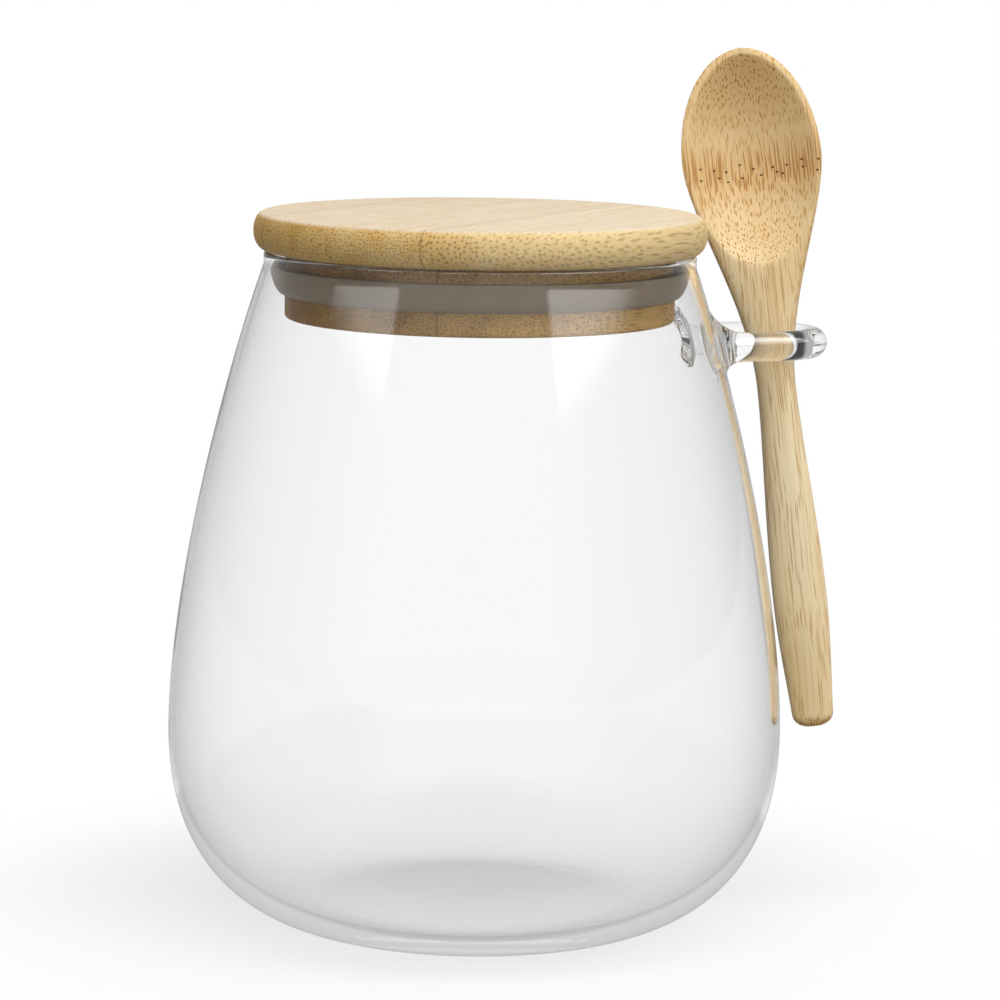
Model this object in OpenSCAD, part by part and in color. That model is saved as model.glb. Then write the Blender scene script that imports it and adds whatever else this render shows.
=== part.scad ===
// Blown glass storage jar with a bamboo lid, a silicone seal, a glass side loop and a bamboo spoon.
// Millimetres, +Z up. The origin is on the jar's axis, on the surface that it stands on.

/* [Jar] */
// Outer diameter of the belly at its widest
belly_d = 125; // [115:0.5:135]
// Height of the widest ring above the table
belly_h = 39.4; // [36:0.1:44]
// Height of the rim above the table
jar_h = 136.8; // [130:0.1:145]
// Outer diameter of the neck
neck_d = 87.2; // [82:0.1:92]
// Height of the upright neck below the rim
neck_h = 2.6; // [2:0.1:4]
// Angle between the shoulder and the upright where they meet
shoulder_angle = 19; // [15:0.5:23]
// Thickness of the blown wall
wall = 1.4; // [1:0.1:2.2]
// Thickness of the floor
floor_t = 3; // [2:0.1:5]
// Outer diameter of the ring that the jar stands on
foot_d = 65; // [58:0.5:70]
// Width of that standing ring
foot_w = 3.5; // [2:0.1:6]
// Depth of the hollow under the floor
punt_h = 1.2; // [0.4:0.1:2]

/* [Lid] */
// Overhang of the lid's edge past the neck
lid_overhang = 2.1; // [1:0.1:4]
// Thickness of the lid's board
lid_t = 7.5; // [6:0.1:10]
// Inward reach of the rounding on the upper edge
lid_top_round = 1.9; // [1:0.1:3]
// Inward reach of the rounding on the lower edge
lid_under_round = 2.7; // [1:0.1:4]
// Clearance between the board and the rim
lid_gap = 0.2; // [0.1:0.05:0.5]
// Radial gap between the plug and the neck
plug_gap = 2.9; // [2:0.1:4]
// Depth that the plug reaches below the rim
plug_h = 13.4; // [11:0.1:18]
// Rounding of the plug's lower edge
plug_round = 0.8; // [0.3:0.1:1.5]

/* [Seal] */
// Distance from the rim down to the top of the seal
seal_drop = 2.9; // [2.5:0.1:4]
// Height of the seal
seal_h = 5.8; // [4:0.1:7]
// Depth of the groove that holds the seal
groove_depth = 2.2; // [1.5:0.1:4]
// Thickness of the sealing lip
lip_t = 1.2; // [0.8:0.1:1.6]
// Clearance between the sealing lip and the neck
seal_gap = 0.15; // [0.1:0.05:0.4]

/* [Loop] */
// Diameter of the glass rod
rod_d = 6.2; // [5:0.1:7.5]
// Distance from the rim down to the rod's centre
loop_drop = 19.3; // [17:0.1:28]
// Play in front of the spoon's neck, and behind it
loop_play = 3.45; // [2.5:0.05:5]
// Reach of the weld around the rod's root, along the wall
weld_w = 3.6; // [1:0.1:4.5]
// Distance that the weld is drawn up the wall
weld_rise = 1.3; // [0:0.1:2]
// Reach of the weld along the rod
weld_l = 4.2; // [3:0.1:6]

/* [Spoon] */
// Length from the end of the handle to the tip of the bowl
spoon_l = 140.8; // [130:0.1:150]
// Width of the bowl
bowl_w = 29; // [26:0.5:32]
// Width of the neck
neck_w = 8; // [7:0.1:9]
// Width of the handle
handle_w = 11.1; // [9.5:0.1:12.5]
// Distance from the tip to the widest line of the bowl
bowl_from_tip = 23; // [20:0.5:26]
// Distance from the end of the handle to the narrowest line of the neck
neck_from_end = 70.5; // [60:0.5:74]
// Distance from the end of the handle to its widest line
handle_from_end = 26.6; // [22:0.1:32]
// Width of the handle at its end
end_w = 8.4; // [7.5:0.1:9.5]
// Length of the rounded corners at its end
end_round = 3; // [2:0.1:4]
// Thickness of the handle
handle_t = 4.6; // [3.5:0.1:5.5]
// Thickness of the neck
neck_t = 6.4; // [5.6:0.1:7.4]
// Depth of the bowl from its rim to its back
bowl_depth = 9; // [8:0.1:11]
// Depth of the scooped pocket
pocket_depth = 6; // [4.5:0.1:6.5]
// Width of the rim around the pocket
rim_w = 2; // [1.5:0.1:3]
// Length of the pocket
pocket_l = 43; // [38:0.5:46]
// Distance from the end of the handle to the loop
hang_l = 80; // [75:0.1:82]
// Tilt of the spoon across the jar
tilt = 7; // [5:0.1:9]
// Lean of the spoon towards the back
lean = 10.5; // [8:0.5:13]
// Distance of the spoon behind the jar's middle, at the loop
spoon_back = 19.1; // [16:0.1:22]
// Gap between the handle and the belly
belly_gap = 1.5; // [1:0.1:3]
// Gap between the spoon's neck and the loop's bend
hang_gap = 0.45; // [0.35:0.05:0.9]

/* [Hidden] */
$fn = 96;

// Radii and heights of the jar
belly_r = belly_d / 2;
neck_r = neck_d / 2;
neck_in_r = neck_r - wall;
neck_z = jar_h - neck_h;
foot_r = foot_d / 2;
foot_in_r = foot_r - foot_w;

// Shares of a curve's run that its ends pull straight on
foot_pull = 0.2;
side_pull = 0.86;
belly_pull = 0.28;
shoulder_pull = 0.29;
curve_steps = 16;
arc_steps = 10;

// Radii and heights of the lid, plug and seal
lid_r = neck_r + lid_overhang;
lid_z = jar_h + lid_gap;
plug_r = neck_in_r - plug_gap;
plug_z = jar_h - plug_h;
groove_r = plug_r - groove_depth;
seal_r = neck_in_r - seal_gap;
seal_top = jar_h - seal_drop;
seal_z = seal_top - seal_h;
lip_root = seal_z + seal_h / 3;

// Places along the spoon, measured from the end of its handle
bowl_s = spoon_l - bowl_from_tip;
pocket_end_gap = rim_w + 0.4;
pocket_s = spoon_l - pocket_end_gap - pocket_l / 2;
pocket_half_w = bowl_w / 2 - rim_w;
rim_round = 1.2;
bowl_ease = 0.85;
handle_ease = 0.9;
end_ease = 0.8;
side_power = 2.4;
end_t_share = 0.6;
pocket_power = 0.6;
front_steps = 24;
back_steps = 12;

function mix(a, b, f) = a + (b - a) * f;
function ease(f) = f * f * (3 - 2 * f);
function bezier(p, f) =
    p[0] * pow(1 - f, 3) + p[1] * 3 * f * pow(1 - f, 2) + p[2] * 3 * f * f * (1 - f) + p[3] * pow(f, 3);
function curve(p) = [for (i = [1 : curve_steps]) bezier(p, i / curve_steps)];
function reversed(list) = [for (i = [len(list) - 1 : -1 : 0]) list[i]];

// Side of the jar from its foot to its neck, inset by a wall and raised by a floor
function lower_side(inset, up) =
    let(r = belly_r - inset, run = r - foot_r, rise = belly_h - up)
    curve([[foot_r, up], [foot_r + foot_pull * run, up], [r, belly_h - side_pull * rise], [r, belly_h]]);
function upper_side(inset) =
    let(rise = neck_z - belly_h, pull = shoulder_pull * rise, r = neck_r - inset)
    curve([
        [belly_r - inset, belly_h],
        [belly_r - inset, belly_h + belly_pull * rise],
        [r + pull * sin(shoulder_angle), neck_z - pull * cos(shoulder_angle)],
        [r, neck_z]
    ]);
function side(inset, up) = concat([[foot_r, up]], lower_side(inset, up), upper_side(inset));
function dome(r, up) = [for (i = [0 : arc_steps]) let(f = i / arc_steps) [r * f, up + punt_h * (1 - f * f)]];

outer_side = side(0, 0);
outer_table = [for (p = outer_side) [p[1], p[0]]];
function jar_r(z) = lookup(z, outer_table);

// Half-width of the spoon at a place along it
function half_w(s) =
    s >= bowl_s ? bowl_w / 2 * sqrt(max(0, 1 - pow((s - bowl_s) / bowl_from_tip, 2)))
    : s >= neck_from_end
        ? mix(bowl_w, neck_w, ease(pow((bowl_s - s) / (bowl_s - neck_from_end), bowl_ease))) / 2
    : s >= handle_from_end
        ? mix(neck_w, handle_w, ease(pow((neck_from_end - s) / (neck_from_end - handle_from_end), handle_ease))) / 2
    : mix(end_w, handle_w, ease(pow(s / handle_from_end, end_ease))) / 2 * bulge(max(0, 1 - s / end_round));

// Share of the way from the neck to the bowl's widest line
function bowl_share(s) = ease(max(0, min(1, (s - neck_from_end) / (bowl_s - neck_from_end))));
// Height of the front face above the spoon's middle plane
function front_t(s) =
    s >= neck_from_end ? neck_t / 2
    : s >= handle_from_end
        ? mix(handle_t, neck_t, ease((s - handle_from_end) / (neck_from_end - handle_from_end))) / 2
    : handle_t / 2 * mix(end_t_share, 1, ease(s / handle_from_end));
// Depth of the back below the spoon's middle plane
function back_t(s) =
    let(bowl_back = bowl_depth - neck_t / 2)
    s >= bowl_s
        ? mix(-edge_t(s), bowl_back, pow(max(0, 1 - pow((s - bowl_s) / bowl_from_tip, 2)), pocket_power))
    : s >= neck_from_end ? mix(neck_t / 2, bowl_back, bowl_share(s))
    : front_t(s);
// Height of the widest line of a cross-section
function edge_t(s) = (neck_t / 2 - rim_round) * bowl_share(s);
function bulge(f) = pow(max(0, 1 - pow(abs(f), side_power)), 1 / side_power);
function pocket(s, v) =
    let(far = pow(v / pocket_half_w, 2) + pow((s - pocket_s) / (pocket_l / 2), 2))
    pocket_depth * pow(max(0, 1 - far), pocket_power);

// One cross-section of the spoon, from its right edge over the front and round the back
function section(s) =
    let(h = half_w(s), e = edge_t(s))
    concat(
        [for (i = [0 : front_steps - 1])
            let(f = cos(180 * i / front_steps))
            [h * f, -(e + (front_t(s) - e) * bulge(f) - pocket(s, h * f)), s - hang_l]],
        [for (i = [0 : back_steps - 1])
            let(f = -cos(180 * i / back_steps))
            [h * f, -(e - (back_t(s) + e) * bulge(f)), s - hang_l]]
    );
end_steps = 10;
handle_steps = 9;
neck_steps = 24;
tip_steps = 14;
tip_angle = 87;
stations = concat(
    [for (i = [0 : end_steps - 1]) handle_from_end * (1 - cos(90 * (i + 0.3) / end_steps))],
    [for (i = [0 : handle_steps - 1]) mix(handle_from_end, neck_from_end, i / handle_steps)],
    [for (i = [0 : neck_steps - 1]) mix(neck_from_end, bowl_s, i / neck_steps)],
    [for (i = [0 : tip_steps]) bowl_s + bowl_from_tip * sin(tip_angle * i / tip_steps)]
);

// Height of the loop's middle plane
loop_h = jar_h - loop_drop;

// Place of the spoon: it hangs in the loop and its handle stays clear of the belly
function turned(p) =
    let(y = p.y * cos(lean) + p.z * sin(lean), z = p.z * cos(lean) - p.y * sin(lean))
    [p.x * cos(tilt) - z * sin(tilt), y, p.x * sin(tilt) + z * cos(tilt)];
spoon_x = max([for (s = stations) if (s < hang_l)
    let(p = turned([-half_w(s), 0, s - hang_l]), r = jar_r(loop_h + p.z) + belly_gap)
    sqrt(max(0, r * r - pow(spoon_back + p.y, 2))) - p.x]);

// Loop: its bend lies just past the spoon's neck, on the line from the jar's axis
loop_angle = atan2(spoon_back, spoon_x);
loop_w = neck_t + 2 * loop_play;
bend_r = (loop_w + rod_d) / 2;
neck_reach = norm([half_w(hang_l) * cos(loop_angle), neck_t / 2 * sin(loop_angle)]);
bend_x = norm([spoon_x, spoon_back]) + neck_reach + hang_gap - loop_w / 2;
root_x = sqrt(pow(jar_r(loop_h), 2) - bend_r * bend_r);
root_depth = wall;

// Direction of the wall's surface at the loop's roots
wall_step = 1;
wall_slope = atan((jar_r(loop_h - wall_step) - jar_r(loop_h + wall_step)) / (2 * wall_step));
wall_turn = asin(bend_r / jar_r(loop_h));

// The legs enter the bend by a lap, a hair thinner than it, so that they are one solid
leg_lap = 0.5;
leg_slack = 0.05;

module outer_form() {
    rotate_extrude() polygon(concat([[0, 0]], outer_side, [[0, neck_z]]));
}

module glass_jar() {
    rim_r = wall / 2;
    rim = [for (i = [0 : arc_steps]) let(a = 180 * i / arc_steps)
        [neck_r - rim_r + rim_r * cos(a), jar_h - rim_r + rim_r * sin(a)]];
    color([0.86, 0.91, 0.91, 0.35])
    rotate_extrude()
    polygon(concat(
        dome(foot_in_r, 0), outer_side, rim, reversed(side(wall, floor_t)), reversed(dome(foot_in_r, floor_t))
    ));
}

// One leg of the loop, from inside the wall to the bend
module loop_leg() {
    translate([root_x - 2 * root_depth, 0, 0])
    rotate([0, 90, 0])
    cylinder(d = rod_d - 2 * leg_slack, h = bend_x + leg_lap - root_x + 2 * root_depth);
}

// The weld around a leg's root: a flared skirt that stands square on the wall
module loop_weld() {
    weld_steps = 8;
    inner_r = rod_d / 4;
    outer_r = rod_d / 2 + weld_w;
    skirt = [for (i = [0 : weld_steps]) let(f = i / weld_steps)
        [mix(inner_r, outer_r, pow(1 - f, 2)), weld_l * f]];
    translate([-weld_rise * tan(wall_slope), 0, weld_rise])
    rotate([0, 90 - wall_slope, 0])
    rotate_extrude()
    polygon(concat([[0, -root_depth], [outer_r, -root_depth]], skirt, [[0, weld_l]]));
}

module spoon_loop() {
    color([0.86, 0.91, 0.91, 0.35])
    difference() {
        rotate([0, 0, loop_angle])
        translate([0, 0, loop_h])
        union() {
            translate([bend_x, 0, 0])
            rotate_extrude(angle = 180, start = -90)
            translate([bend_r, 0])
            circle(d = rod_d);
            for (side = [-1, 1])
                translate([0, side * bend_r, 0]) {
                    loop_leg();
                    translate([root_x, 0, 0])
                    rotate([0, 0, side * wall_turn])
                    loop_weld();
                }
        }
        outer_form();
    }
}

module lid_board() {
    half_t = lid_t / 2;
    edge = [for (i = [-arc_steps : arc_steps])
        let(a = 90 * i / arc_steps, reach = i < 0 ? lid_under_round : lid_top_round)
        [lid_r - reach * (1 - cos(a)), lid_z + half_t * (1 + sin(a))]];
    color("burlywood")
    rotate_extrude()
    polygon(concat([[0, lid_z]], edge, [[0, lid_z + lid_t]]));
}

module lid_plug() {
    lower_edge = [for (i = [0 : arc_steps]) let(a = -90 + 90 * i / arc_steps)
        [plug_r - plug_round * (1 - cos(a)), plug_z + plug_round * (1 + sin(a))]];
    color("tan")
    rotate_extrude()
    polygon(concat(
        [[0, plug_z]], lower_edge,
        [[plug_r, seal_z], [groove_r, seal_z], [groove_r, seal_top], [plug_r, seal_top]],
        [[plug_r, lid_z], [0, lid_z]]
    ));
}

module lid_seal() {
    lip = [for (i = [0 : arc_steps]) let(f = i / arc_steps)
        [mix(plug_r, seal_r, sin(90 * f)), seal_z + seal_h * f]];
    color("gainsboro")
    rotate_extrude()
    polygon(concat(
        [[groove_r, seal_z]], lip,
        [[seal_r - lip_t, seal_top], [plug_r, lip_root], [plug_r, seal_top], [groove_r, seal_top]]
    ));
}

module spoon() {
    n = front_steps + back_steps;
    last = len(stations) - 1;
    points = [for (s = stations) each section(s)];
    walls = [for (i = [0 : last - 1], j = [0 : n - 1])
        let(a = i * n + j, b = i * n + (j + 1) % n)
        each [[a, b, a + n], [b, b + n, a + n]]];
    ends = [[for (j = [n - 1 : -1 : 0]) j], [for (j = [0 : n - 1]) last * n + j]];
    color("peru")
    translate([spoon_x, spoon_back, loop_h])
    rotate([-lean, -tilt, 0])
    polyhedron(points, concat(walls, ends), convexity = 4);
}

glass_jar();
spoon_loop();
lid_board();
lid_plug();
lid_seal();
spoon();
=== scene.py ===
# %% [markdown]
# # A glass storage jar with a bamboo lid and spoon
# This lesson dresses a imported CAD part: a blown jar with a glass loop on its side, a round bamboo lid
# with a silicone seal, and a bamboo spoon that hangs in the loop. The CAD solids fix every size. Here
# each of them is replaced by a finer mesh of the same form, with the finish of the real thing.

# %% Load the CAD frame
import math

import bmesh
import bpy
from mathutils import Euler, Matrix, Vector
from mathutils.geometry import interpolate_bezier


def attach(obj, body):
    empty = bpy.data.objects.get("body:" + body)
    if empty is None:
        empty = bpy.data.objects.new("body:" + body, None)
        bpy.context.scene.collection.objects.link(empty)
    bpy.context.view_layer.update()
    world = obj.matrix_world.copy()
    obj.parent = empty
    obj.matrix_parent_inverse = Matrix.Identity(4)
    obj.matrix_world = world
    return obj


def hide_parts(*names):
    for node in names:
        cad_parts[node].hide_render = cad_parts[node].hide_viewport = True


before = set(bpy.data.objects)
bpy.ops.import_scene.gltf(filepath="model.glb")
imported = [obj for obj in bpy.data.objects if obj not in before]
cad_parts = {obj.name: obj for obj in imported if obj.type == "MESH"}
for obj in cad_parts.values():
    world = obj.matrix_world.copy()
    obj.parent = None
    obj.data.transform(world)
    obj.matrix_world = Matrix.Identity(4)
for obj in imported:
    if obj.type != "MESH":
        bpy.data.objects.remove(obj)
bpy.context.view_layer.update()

print("CAD nodes:", sorted(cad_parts))

# %% [markdown]
# ## The camera
# A product photograph like this one is taken with a long lens from a little above the rim, so that the
# jar's sides hardly converge. The camera's place, its tilt and a small roll were fitted to the jar's
# outline, the rim and the lid. The focal length alone sets how large the jar is in the picture, so no
# shift is needed.

# %% Place the camera
eye = Vector((0, -0.84265, 0.21023))
jar_middle = Vector((0, 0, 0.09))
camera_yaw, camera_pitch, camera_roll = (math.radians(a) for a in (-0.3152, 8.3641, 0.7820))

camera_data = bpy.data.cameras.new("product_camera")
camera_data.sensor_width = 36
camera_data.lens = 150.9
camera = bpy.data.objects.new("product_camera", camera_data)
bpy.context.collection.objects.link(camera)
camera.matrix_world = (
    Matrix.Translation(eye)
    @ Matrix.Rotation(camera_yaw, 4, "Z")
    @ Matrix.Rotation(math.pi / 2 - camera_pitch, 4, "X")
    @ Matrix.Rotation(camera_roll, 4, "Z")
)
bpy.context.scene.camera = camera
print("Camera", round((eye - jar_middle).length, 3), "m from the jar")

# %% [markdown]
# Light can run a long way inside a wall of glass, thrown from one face to the other, before it comes out.
# After a few bounces Blender gives a ray up and leaves it black, which would draw a dark band along the
# jar's foot. With far more bounces nearly all of that light comes out. The Standard view shows colours as
# they are written.

# %% Let the light run through the glass
GLASS_BOUNCES = 128

cycles = bpy.context.scene.cycles
cycles.max_bounces = GLASS_BOUNCES
cycles.glossy_bounces = GLASS_BOUNCES
cycles.transmission_bounces = GLASS_BOUNCES
bpy.context.scene.view_settings.view_transform = "Standard"
print("Light may bounce", GLASS_BOUNCES, "times")

# %% [markdown]
# ## Two ways to make a round thing
# A jar, a lid and a seal are all bodies of revolution. Each could start from a cylinder that is cut and
# bevelled, but a lathe is closer to how they are made: a half outline is spun once round the axis. The
# spoon and the glass rod aren't round, so they start from a flat grid that is rolled into a tube, row by
# row.

# %% Helpers for turned and rolled pieces
MM = 0.001
TURN_STEPS = 192
MERGE_DIST = 1e-6


def at(r, z):
    """A point of a half outline, from millimetres."""
    return Vector((r * MM, 0, z * MM))


def piece_from(name, bm):
    """Closes a bmesh into a smooth object that sits at the origin."""
    bmesh.ops.remove_doubles(bm, verts=bm.verts, dist=MERGE_DIST)
    bmesh.ops.recalc_face_normals(bm, faces=bm.faces)
    mesh = bpy.data.meshes.new(name)
    bm.to_mesh(mesh)
    bm.free()
    mesh.shade_smooth()
    piece = bpy.data.objects.new(name, mesh)
    bpy.context.collection.objects.link(piece)
    print(name, len(mesh.vertices), "vertices,", len(mesh.polygons), "faces")
    return piece


def turned(name, outline, ring=False):
    """Spins a half outline once round the upright axis. A ring's outline is joined end to start."""
    bm = bmesh.new()
    corners = [bm.verts.new(p) for p in outline]
    for a, b in zip(corners, corners[1:] + corners[:1] if ring else corners[1:]):
        bm.edges.new((a, b))
    bmesh.ops.spin(
        bm, geom=bm.verts[:] + bm.edges[:], axis=(0, 0, 1), cent=(0, 0, 0),
        angle=math.tau, steps=TURN_STEPS, use_merge=True,
    )
    return piece_from(name, bm)


def rolled(name, rows, columns, place):
    """Rolls a flat grid into a closed tube: place gives the point for a row and for a share of the turn."""
    bm = bmesh.new()
    bmesh.ops.create_grid(bm, x_segments=rows, y_segments=columns, size=0.5)
    for v in bm.verts:
        v.co = place(round((v.co.x + 0.5) * rows), round((v.co.y + 0.5) * columns) / columns)
    bmesh.ops.remove_doubles(bm, verts=bm.verts, dist=MERGE_DIST)
    bmesh.ops.holes_fill(bm, edges=[e for e in bm.edges if e.is_boundary], sides=0)
    bmesh.ops.poke(bm, faces=[f for f in bm.faces if len(f.verts) > 4])
    return piece_from(name, bm)


def mix(a, b, share):
    return a + (b - a) * share


def ease(share):
    return share * share * (3 - 2 * share)


print("A turned piece has", TURN_STEPS, "steps")

# %% [markdown]
# ## The blown jar
# The jar is blown borosilicate glass: a thin wall of 1.4 mm with a heavier floor, a fire-polished rim and
# a shallow hollow under the floor, so that it stands on a ring. Both faces of the wall are modelled,
# because glass bends light at each of them, and the thin bright and dark lines along the outline come
# from that. Two Bezier curves give the side: from the foot to the belly, and from the belly to the neck.

# %% Outline of the jar
BELLY_R, BELLY_H, NECK_R = 62.46, 39.4, 43.6
JAR_H, NECK_Z, WALL, FLOOR_T = 136.8, 134.2, 1.4, 3.0
FOOT_R, FOOT_IN_R, PUNT_H = 32.5, 29.0, 1.2
FOOT_PULL, BELLY_PULL_DOWN, BELLY_PULL_UP, NECK_PULL = 0.2, 0.86, 0.28, 0.29
SHOULDER = math.radians(19)
SIDE_STEPS, ROUND_STEPS = 56, 14


def jar_side(inset, up):
    """Half outline from the foot to the neck, moved in by a wall and up by a floor."""
    belly, neck, rise = BELLY_R - inset, NECK_R - inset, NECK_Z - BELLY_H
    pull = NECK_PULL * rise
    lower = interpolate_bezier(
        at(FOOT_R, up), at(mix(FOOT_R, belly, FOOT_PULL), up),
        at(belly, mix(BELLY_H, up, BELLY_PULL_DOWN)), at(belly, BELLY_H), SIDE_STEPS,
    )
    upper = interpolate_bezier(
        at(belly, BELLY_H), at(belly, BELLY_H + BELLY_PULL_UP * rise),
        at(neck + pull * math.sin(SHOULDER), NECK_Z - pull * math.cos(SHOULDER)), at(neck, NECK_Z),
        SIDE_STEPS,
    )
    return lower + upper[1:]


def punt(up):
    """Half outline of the hollow under the floor, or of the floor above it."""
    shares = [i / ROUND_STEPS for i in range(ROUND_STEPS + 1)]
    return [at(FOOT_IN_R * f, up + PUNT_H * (1 - f * f)) for f in shares]


rim_r = WALL / 2
rim_angles = [math.pi * i / ROUND_STEPS for i in range(ROUND_STEPS + 1)]
rim = [
    at(NECK_R - rim_r + rim_r * math.cos(a), JAR_H - rim_r + rim_r * math.sin(a))
    for a in rim_angles
]
outer_side = jar_side(0, 0)
jar_outline = punt(0) + outer_side + rim + jar_side(WALL, FLOOR_T)[::-1] + punt(FLOOR_T)[::-1]
jar = turned("blown_jar", jar_outline)

# %% [markdown]
# ## The glass loop
# The loop is a solid glass rod, bent round and melted onto the shoulder. Where the hot rod meets the
# wall, the glass flares and is drawn up a little. A plain tube pushed into the wall would show a hard
# line there, so the rod's ends are spread over the wall itself: each point of the flare is measured from
# the jar's outline.

# %% Sweep the rod
ROD_R, LOOP_H, LOOP_ANGLE = 3.05, 117.5, math.radians(17.551)
BEND_X, BEND_R, ROOT_X = 61.852, 9.75, 47.845
WELD_W, WELD_RISE, WELD_L, ROOT_DEPTH = 5.0, 1.2, 5.2, 0.6
FLARE_ROWS, SUNK_ROWS, LEG_ROWS, BEND_ROWS, ROD_COLUMNS = 16, 3, 4, 28, 40
HALF_ROWS = FLARE_ROWS + LEG_ROWS + BEND_ROWS
loop_place = Matrix.Translation((0, 0, LOOP_H * MM)) @ Matrix.Rotation(LOOP_ANGLE, 4, "Z")


def jar_r(z):
    """Outer radius of the jar at a height, in millimetres."""
    for low, high in zip(outer_side, outer_side[1:]):
        if low.z <= z * MM <= high.z:
            return mix(low.x, high.x, (z * MM - low.z) / (high.z - low.z)) / MM
    return NECK_R


def loop_point(row, share):
    """A point of the rod: rows count from one root, round the bend, to the other root."""
    hand = -1 if row <= HALF_ROWS else 1
    step = min(row, 2 * HALF_ROWS - row)
    c, s = math.cos(math.tau * share), math.sin(math.tau * share)
    if step <= FLARE_ROWS:
        a = math.pi / 2 * step / FLARE_ROWS
        spread = ROD_R + WELD_W * (1 - math.sin(a))
        y, z = hand * (BEND_R + spread * c), spread * s + WELD_RISE * (1 - math.sin(a))
        sunk = ROOT_DEPTH * max(0, 1 - step / SUNK_ROWS)
        on_wall = math.sqrt(jar_r(LOOP_H + z) ** 2 - y * y) - sunk
        x = mix(on_wall, ROOT_X + WELD_L, 1 - math.cos(a))
    elif step <= FLARE_ROWS + LEG_ROWS:
        x = mix(ROOT_X + WELD_L, BEND_X, (step - FLARE_ROWS) / LEG_ROWS)
        y, z = hand * (BEND_R + ROD_R * c), ROD_R * s
    else:
        a = math.pi / 2 * (step - FLARE_ROWS - LEG_ROWS) / BEND_ROWS
        r = BEND_R + ROD_R * c
        x, y, z = BEND_X + r * math.sin(a), hand * r * math.cos(a), ROD_R * s
    return loop_place @ (Vector((x, y, z)) * MM)


rod = rolled("glass_rod", 2 * HALF_ROWS, ROD_COLUMNS, loop_point)

# %% [markdown]
# Two pieces of glass that overlap would show the wall inside the weld, which melted glass doesn't have. A
# Boolean union makes them one body. It is applied to the mesh, so the piece is a plain closed shell.

# %% Melt the rod onto the jar
weld = jar.modifiers.new("melt", "BOOLEAN")
weld.operation, weld.solver, weld.object = "UNION", "EXACT", rod
melted = bpy.data.meshes.new_from_object(jar.evaluated_get(bpy.context.evaluated_depsgraph_get()))
for leftover in (rod, jar):
    bpy.data.objects.remove(leftover)

bm = bmesh.new()
bm.from_mesh(melted)
glass = piece_from("jar_with_loop", bm)
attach(glass, "jar")
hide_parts("glass_jar", "spoon_loop")

# %% [markdown]
# ## The lid
# The lid is a board of bamboo strips glued edge to edge, turned round, with a full edge: the rounding
# below reaches further in than the one above. Under it sits a turned plug with a groove for the seal. A
# cylinder could be bevelled, but the two roundings differ, so both pieces are spun from their outlines.

# %% Turn the lid's board and its plug
LID_R, LID_Z, LID_T, ROUND_ABOVE, ROUND_BELOW = 45.7, 137.0, 7.5, 1.9, 2.7
PLUG_R, PLUG_Z, PLUG_ROUND, GROOVE_R = 39.3, 123.4, 0.8, 37.1
SEAL_Z, SEAL_TOP, SEAL_R, LIP_T = 128.1, 133.9, 42.05, 1.2
SHARP_ANGLE = math.radians(40)

edge_angles = [math.pi / 2 * i / ROUND_STEPS for i in range(-ROUND_STEPS, ROUND_STEPS + 1)]
lid_edge = [
    at(
        LID_R - (ROUND_BELOW if a < 0 else ROUND_ABOVE) * (1 - math.cos(a)),
        LID_Z + LID_T / 2 * (1 + math.sin(a)),
    )
    for a in edge_angles
]
board = turned("lid_round_board", [at(0, LID_Z)] + lid_edge + [at(0, LID_Z + LID_T)])

plug_edge = [
    at(PLUG_R - PLUG_ROUND * (1 - math.cos(a)), PLUG_Z + PLUG_ROUND * (1 + math.sin(a)))
    for a in edge_angles if a <= 0
]
groove = [at(PLUG_R, SEAL_Z), at(GROOVE_R, SEAL_Z), at(GROOVE_R, SEAL_TOP), at(PLUG_R, SEAL_TOP)]
plug_top = [at(PLUG_R, LID_Z), at(0, LID_Z)]
plug = turned("lid_turned_plug", [at(0, PLUG_Z)] + plug_edge + groove + plug_top)
for wood, node, finish in ((board, "lid_board", "lid_bamboo"), (plug, "lid_plug", "plug_bamboo")):
    wood.data.set_sharp_from_angle(angle=SHARP_ANGLE)
    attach(wood, "lid")
    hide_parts(node)

# %% [markdown]
# ## The seal
# The seal is one moulded silicone ring. Its foot fills the groove and its lip flares upwards until it
# meets the neck, so that it bends in as the lid goes down. A torus could be reshaped, but the foot has
# corners. Its outline is drawn and closed on itself before it spins, because a ring has no point on the
# axis.

# %% Turn the seal
lip_shares = [i / ROUND_STEPS for i in range(ROUND_STEPS + 1)]
lip = [
    at(mix(PLUG_R, SEAL_R, math.sin(math.acos(1 - f))), mix(SEAL_Z, SEAL_TOP, f))
    for f in lip_shares
]
lip_root = mix(SEAL_Z, SEAL_TOP, 1 / 3)
seal_outline = [at(GROOVE_R, SEAL_Z)] + lip + [
    at(SEAL_R - LIP_T, SEAL_TOP), at(PLUG_R, lip_root), at(PLUG_R, SEAL_TOP), at(GROOVE_R, SEAL_TOP)
]
seal = turned("silicone_seal_ring", seal_outline, ring=True)
seal.data.set_sharp_from_angle(angle=SHARP_ANGLE)
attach(seal, "lid")
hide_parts("lid_seal")

# %% [markdown]
# ## The spoon
# The spoon is carved from one piece of bamboo: an oval bowl with a scooped pocket, a slim neck that hangs
# in the loop, and a flat handle that widens to a blunt end. It could be sculpted from a subdivided block.
# Here its width, its thickness and its pocket are written as curves along its length, and a rolled grid
# follows them.

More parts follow.
